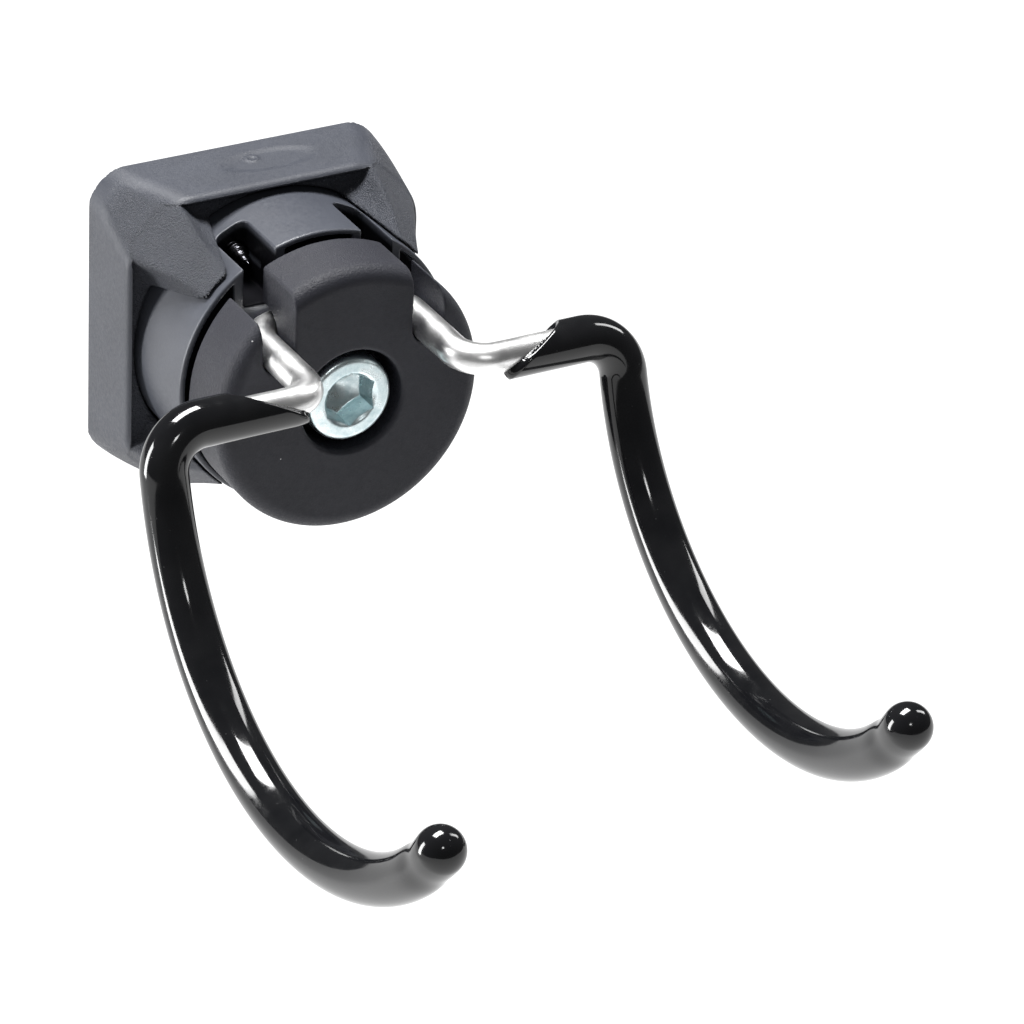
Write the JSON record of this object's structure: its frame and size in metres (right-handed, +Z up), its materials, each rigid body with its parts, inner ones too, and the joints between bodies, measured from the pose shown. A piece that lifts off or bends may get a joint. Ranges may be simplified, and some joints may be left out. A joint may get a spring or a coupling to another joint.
{
  "type": "bicycle wall rack",
  "caption": "Wall rack for hanging a bicycle by its top tube: square wall cover, swivelling round clamp head, and a folding twin hook of bent wire with glossy dipped arms",
  "frame": {"origin": "where the axis of the clamp screw meets the wall, in the plane of the wall plate's back", "axes": "+X to the right seen from the room, +Y into the wall, +Z up; the hook stands out along -Y"},
  "size_m": [0.1094, 0.1832, 0.0767],
  "materials": {
    "cover_plastic": "fine spark-eroded grain, satin",
    "hub_plastic": "satin",
    "cap_plastic": "satin",
    "plate_steel": "zinc plated",
    "screw_zinc": "bright zinc plated",
    "wire_zinc": "bright zinc plated",
    "dipped_coat": "very glossy dipped vinyl"
  },
  "bodies": {
    "base": {"wall_base": "cover_plastic", "wall_plate": "plate_steel", "plate_nut": "plate_steel"},
    "head": {"swivel_hub": "hub_plastic", "retaining_ring": "plate_steel", "hub_screws": "screw_zinc"},
    "cap": {"clamp_cap": "cap_plastic"},
    "screw": {"clamp_screw": "screw_zinc"},
    "hook": {"hook_wire": "wire_zinc", "left_coating": "dipped_coat", "right_coating": "dipped_coat"}
  },
  "joints": [
    {"name": "head_swivel", "type": "hinge", "parent": "base", "child": "head", "pos_m": [0, 0, 0], "axis": [0, 1, 0], "continuous": true},
    {"name": "cap_travel", "type": "slide", "parent": "head", "child": "cap", "axis": [0, -1, 0], "range_m": [0, 0.0035]},
    {"name": "screw_turn", "type": "hinge", "parent": "cap", "child": "screw", "pos_m": [0, 0, 0], "axis": [0, -1, 0], "range_deg": [0, 720]},
    {"name": "hook_fold", "type": "hinge", "parent": "head", "child": "hook", "pos_m": [0, -0.03966, 0.0127], "axis": [-1, 0, 0], "range_deg": [0, 90]}
  ],
  "couplings": [
    {"joint": "screw_turn", "follows": "cap_travel", "rad_per_m": 3590.4}
  ]
}
